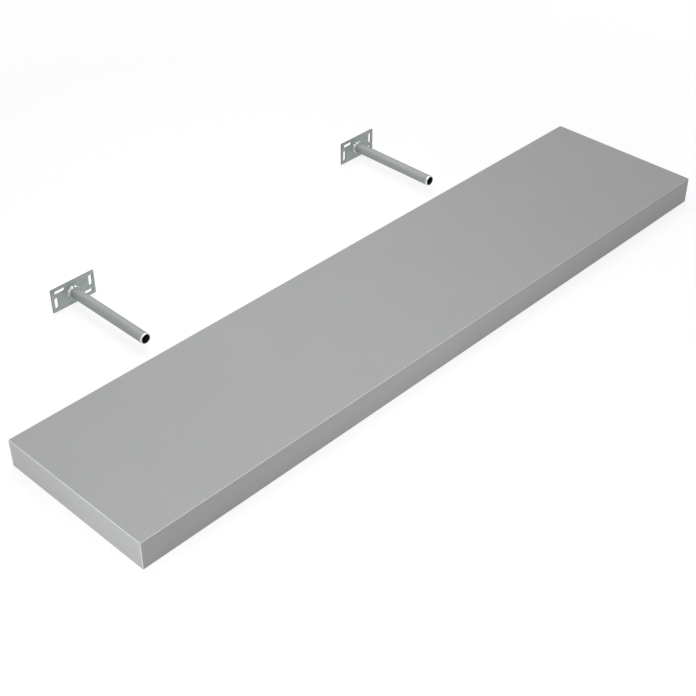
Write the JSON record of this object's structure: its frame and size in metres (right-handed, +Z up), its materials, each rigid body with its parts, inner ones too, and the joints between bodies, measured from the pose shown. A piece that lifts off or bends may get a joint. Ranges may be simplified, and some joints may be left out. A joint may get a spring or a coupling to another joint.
{
  "type": "floating wall shelf",
  "caption": "Long plain wall shelf, a hollow-core board with banded edges, which slides off and onto tube-and-plate wall brackets that it hides.",
  "frame": {"origin": "on the wall, midway between the two brackets, at the height of their tubes", "axes": "+X along the shelf, +Y into the wall, +Z up"},
  "size_m": [1.1, 0.472, 0.042],
  "materials": {
    "grey_facing": "satin grey melamine facing on thin fibreboard",
    "grey_band": "satin grey plastic edge band",
    "fibreboard": "raw medium-density fibreboard",
    "honeycomb_paper": "brown kraft paper",
    "zinc_steel": "zinc-plated steel",
    "weld_metal": "zinc-plated weld"
  },
  "bodies": {
    "wall_brackets": {"left_wall_plate": "zinc_steel", "left_support_tube": "zinc_steel", "left_weld_bead": "weld_metal", "right_wall_plate": "zinc_steel", "right_support_tube": "zinc_steel", "right_weld_bead": "weld_metal"},
    "shelf": {"top_panel": "grey_facing", "bottom_panel": "grey_facing", "front_rail": "fibreboard", "rear_rail": "fibreboard", "left_end_rail": "fibreboard", "right_end_rail": "fibreboard", "left_cross_rail": "fibreboard", "right_cross_rail": "fibreboard", "left_core": "honeycomb_paper", "centre_core": "honeycomb_paper", "right_core": "honeycomb_paper", "front_edge_band": "grey_band", "rear_edge_band": "grey_band", "left_edge_band": "grey_band", "right_edge_band": "grey_band"}
  },
  "joints": [
    {"name": "shelf_slide", "type": "slide", "parent": "wall_brackets", "child": "shelf", "axis": [0, 1, 0], "range_m": [0, 0.2197]}
  ]
}
